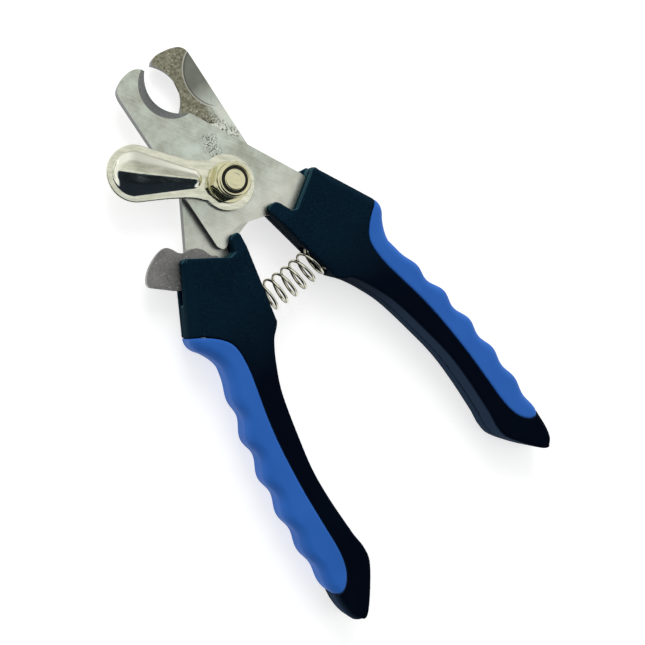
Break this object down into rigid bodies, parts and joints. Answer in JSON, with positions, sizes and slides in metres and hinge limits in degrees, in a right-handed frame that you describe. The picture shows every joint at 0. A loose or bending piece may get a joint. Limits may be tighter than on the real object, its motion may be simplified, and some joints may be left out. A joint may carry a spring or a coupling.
{
  "type": "pet nail trimmer",
  "caption": "Plier-style pet nail trimmer with two bypass hook blades, a swinging guard lever, a return spring, a thumb lock and finger-grooved soft grips.",
  "frame": {"origin": "on the pivot axis, in the plane of the bolt head's back face and the handles' backs, on which the trimmer lies", "axes": "+Z along the pivot axis, out of the nut side; +Y along the centre line towards the jaws; +X towards the front blade's handle"},
  "size_m": [0.0888, 0.1675, 0.0161],
  "materials": {
    "brushed_blade": "brushed stainless, lightly pitted",
    "guard_chrome": "polished chrome plate",
    "bolt_chrome": "polished chrome plate",
    "insert_nylon": "black nylon",
    "spring_chrome": "bright plated wire",
    "handle_plastic": "fine textured, semi-matte, near-black navy",
    "grip_rubber": "soft-touch blue, matte",
    "lock_steel": "tumbled steel plate",
    "pin_steel": "plain ground steel"
  },
  "bodies": {
    "rear_half": {"rear_blade": "brushed_blade", "pivot_bolt": "bolt_chrome", "head_washer": "bolt_chrome", "nut_washer": "bolt_chrome", "pivot_nut": "bolt_chrome", "nut_insert": "insert_nylon", "left_front_shell": "handle_plastic", "left_rear_shell": "handle_plastic", "left_grip": "grip_rubber", "left_tang_pins": "pin_steel", "lock_pin": "pin_steel", "lock_washer": "pin_steel", "return_spring": "spring_chrome"},
    "front_half": {"front_blade": "brushed_blade", "right_front_shell": "handle_plastic", "right_rear_shell": "handle_plastic", "right_grip": "grip_rubber", "right_tang_pins": "pin_steel"},
    "guard": {"guard_lever": "guard_chrome"},
    "lock": {"lock_lever": "lock_steel"}
  },
  "joints": [
    {"name": "main_pivot", "type": "hinge", "parent": "rear_half", "child": "front_half", "pos_m": [0, 0, 0], "axis": [0, 0, 1], "range_deg": [-18, 0], "stiffness_Nm_per_rad": 1.6, "springref_deg": 5.73, "deforming": ["return_spring"]},
    {"name": "guard_pivot", "type": "hinge", "parent": "rear_half", "child": "guard", "pos_m": [0, 0, 0], "axis": [0, 0, 1], "range_deg": [-140, 40]},
    {"name": "lock_pivot", "type": "hinge", "parent": "rear_half", "child": "lock", "pos_m": [-0.024, -0.0135, 0], "axis": [0, 0, 1], "range_deg": [0, 22]}
  ]
}
